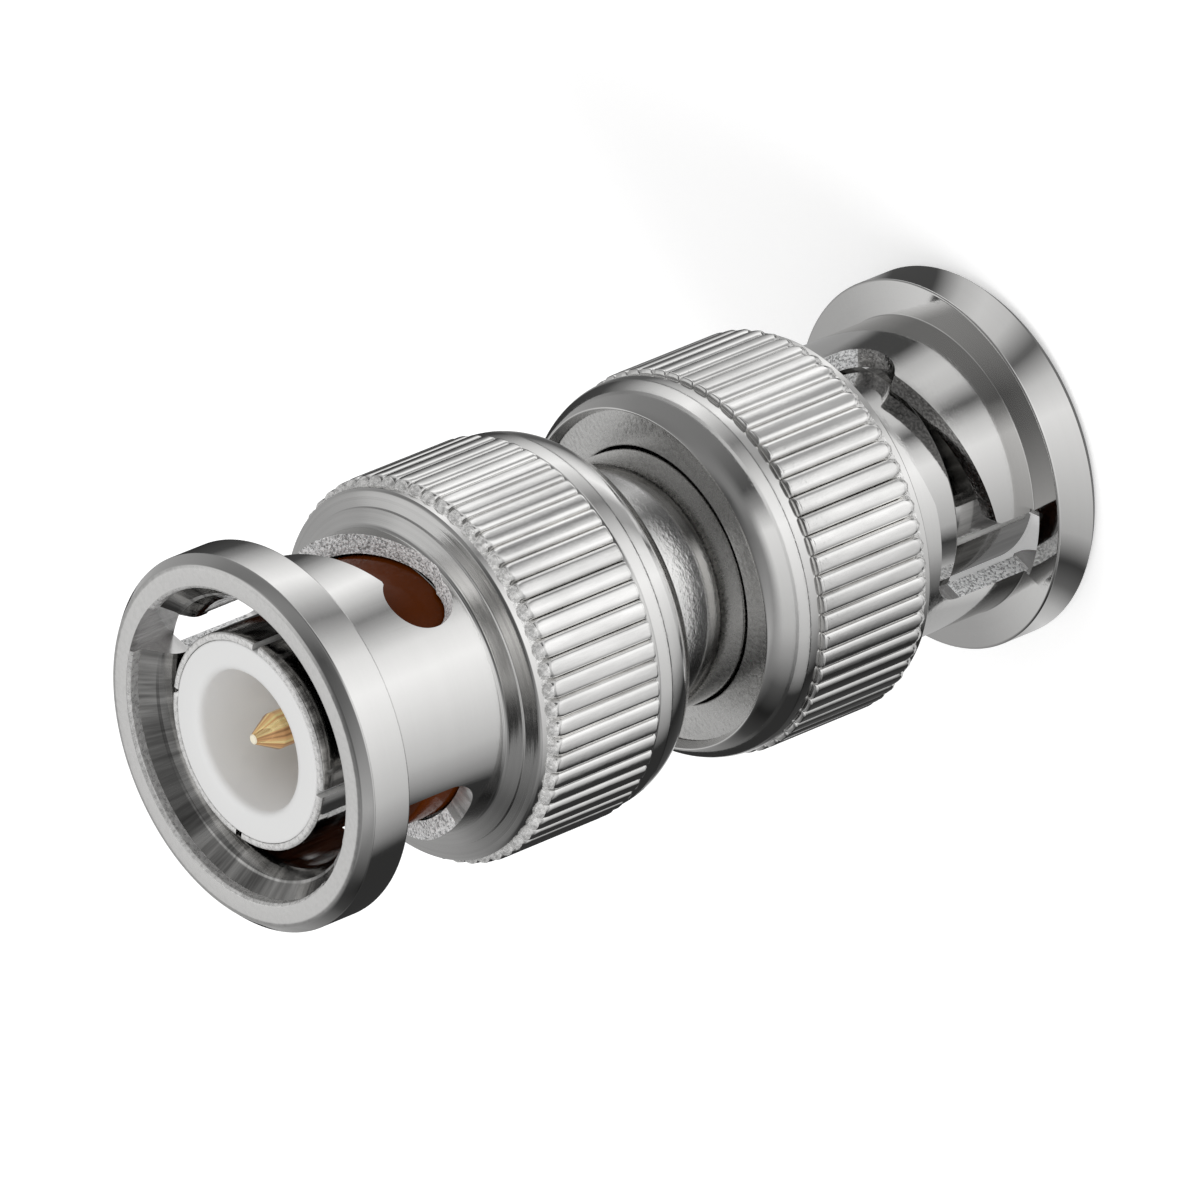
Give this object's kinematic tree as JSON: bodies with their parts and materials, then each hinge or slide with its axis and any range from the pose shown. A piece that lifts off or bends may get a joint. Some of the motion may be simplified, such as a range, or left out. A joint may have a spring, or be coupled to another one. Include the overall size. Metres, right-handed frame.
{
  "type": "coaxial bayonet plug adapter",
  "caption": "Coaxial adapter with a bayonet plug at each end: sprung knurled coupling nuts with cam slots turn on a body that holds slotted outer contacts and gilt pins.",
  "frame": {"origin": "centre of the front rim face of the lower coupling nut, on which the part stands", "axes": "+Z along the common axis, from the lower mating face to the upper mating face"},
  "size_m": [0.0144, 0.0144, 0.035],
  "materials": {
    "nickel_nut": "nickel plated, turned",
    "nickel_body": "nickel plated, faint orange peel",
    "nickel_contact": "nickel plated, bright",
    "washer_steel": "satin",
    "spring_steel": "bright strip",
    "white_plastic": "smooth",
    "silicone": "smooth",
    "gilt": "gold plated, bright"
  },
  "bodies": {
    "body": {"main_body": "nickel_body", "flange_bush": "nickel_body", "centre_contact": "gilt", "upper_insulator": "white_plastic", "lower_insulator": "white_plastic", "upper_outer_contact": "nickel_contact", "lower_outer_contact": "nickel_contact", "upper_gasket": "silicone", "lower_gasket": "silicone", "upper_thrust_washer": "washer_steel", "lower_thrust_washer": "washer_steel", "upper_inner_wave_spring": "spring_steel", "upper_outer_wave_spring": "spring_steel", "lower_inner_wave_spring": "spring_steel", "lower_outer_wave_spring": "spring_steel"},
    "upper_washer": {"upper_retaining_washer": "washer_steel"},
    "upper_nut": {"upper_coupling_nut": "nickel_nut"},
    "lower_washer": {"lower_retaining_washer": "washer_steel"},
    "lower_nut": {"lower_coupling_nut": "nickel_nut"}
  },
  "joints": [
    {"name": "upper_nut_slide", "type": "slide", "parent": "body", "child": "upper_washer", "axis": [0, 0, 1], "range_m": [0, 0.0006], "stiffness_N_per_m": 1500, "springref_m": -0.0001, "deforming": ["upper_inner_wave_spring", "upper_outer_wave_spring"]},
    {"name": "upper_nut_turn", "type": "hinge", "parent": "upper_washer", "child": "upper_nut", "pos_m": [0, 0, 0.0275], "axis": [0, 0, 1], "continuous": true},
    {"name": "lower_nut_slide", "type": "slide", "parent": "body", "child": "lower_washer", "axis": [0, 0, -1], "range_m": [0, 0.0006], "stiffness_N_per_m": 1500, "springref_m": -0.0001, "deforming": ["lower_inner_wave_spring", "lower_outer_wave_spring"]},
    {"name": "lower_nut_turn", "type": "hinge", "parent": "lower_washer", "child": "lower_nut", "pos_m": [0, 0, 0.0075], "axis": [0, 0, -1], "continuous": true}
  ]
}
